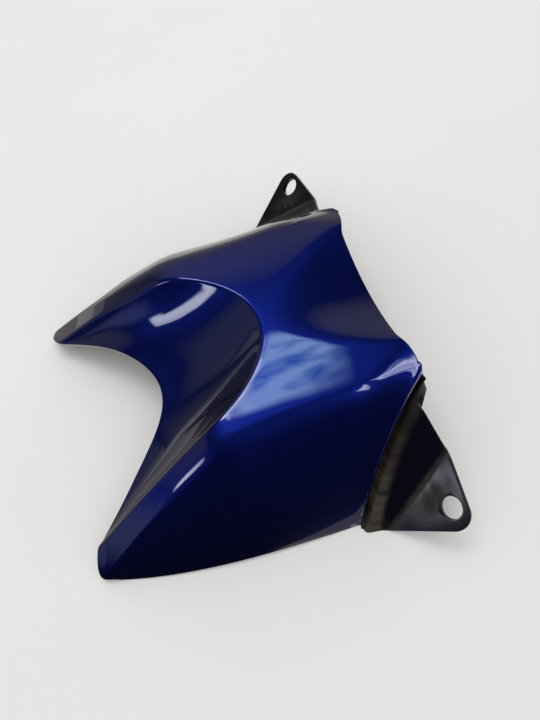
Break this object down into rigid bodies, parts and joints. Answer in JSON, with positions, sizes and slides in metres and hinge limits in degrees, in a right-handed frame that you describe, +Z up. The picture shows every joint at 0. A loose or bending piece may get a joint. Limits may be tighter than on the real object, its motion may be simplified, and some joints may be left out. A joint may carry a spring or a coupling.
{
  "type": "motorcycle tank cover",
  "caption": "Thin painted moulding that bridges a motorcycle fuel tank: prongs round the filler cap, a scoop, side walls, and a folded lug with a bolt hole at each front corner.",
  "frame": {"origin": "middle of the cover's outline, on the surface that it stands on", "axes": "+X from the prong tips to the front edge, +Y to the left of the direction of travel, +Z up"},
  "size_m": [0.203, 0.2626, 0.0715],
  "materials": {
    "paint": "deep blue metallic under clear lacquer"
  },
  "bodies": {
    "root": {"tank_cover": "paint"}
  },
  "joints": []
}
